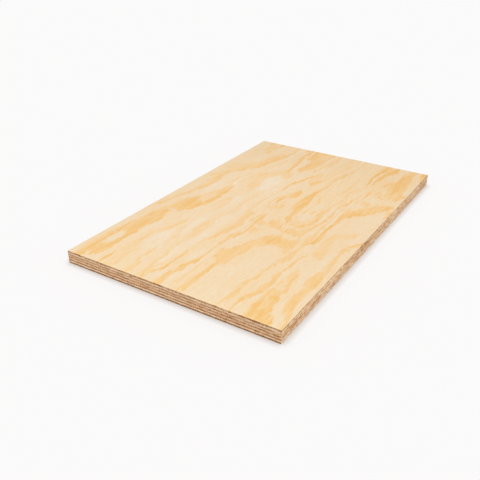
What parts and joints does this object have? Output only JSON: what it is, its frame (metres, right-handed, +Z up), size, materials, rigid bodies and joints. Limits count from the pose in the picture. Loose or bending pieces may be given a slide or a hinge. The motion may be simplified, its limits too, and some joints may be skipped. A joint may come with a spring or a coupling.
{
  "type": "plywood sheet",
  "caption": "Flat rectangular softwood plywood sheet of cross-laid glued veneers, with sanded faces and square sawn edges, for shelves, panels and boxes.",
  "frame": {"origin": "centre of the underside, on the surface that the sheet lies on", "axes": "+Z up, square to the face; +Y along the length and the face grain; +X across the width"},
  "size_m": [0.315, 0.5, 0.018],
  "materials": {
    "face_veneer": "sanded",
    "crossband": "sawn",
    "core_veneer": "sawn",
    "back_veneer": "sanded"
  },
  "bodies": {
    "root": {"back_veneer": "back_veneer", "crossband_1": "crossband", "core_veneer_1": "core_veneer", "crossband_2": "crossband", "core_veneer_2": "core_veneer", "crossband_3": "crossband", "core_veneer_3": "core_veneer", "crossband_4": "crossband", "face_veneer": "face_veneer"}
  },
  "joints": []
}
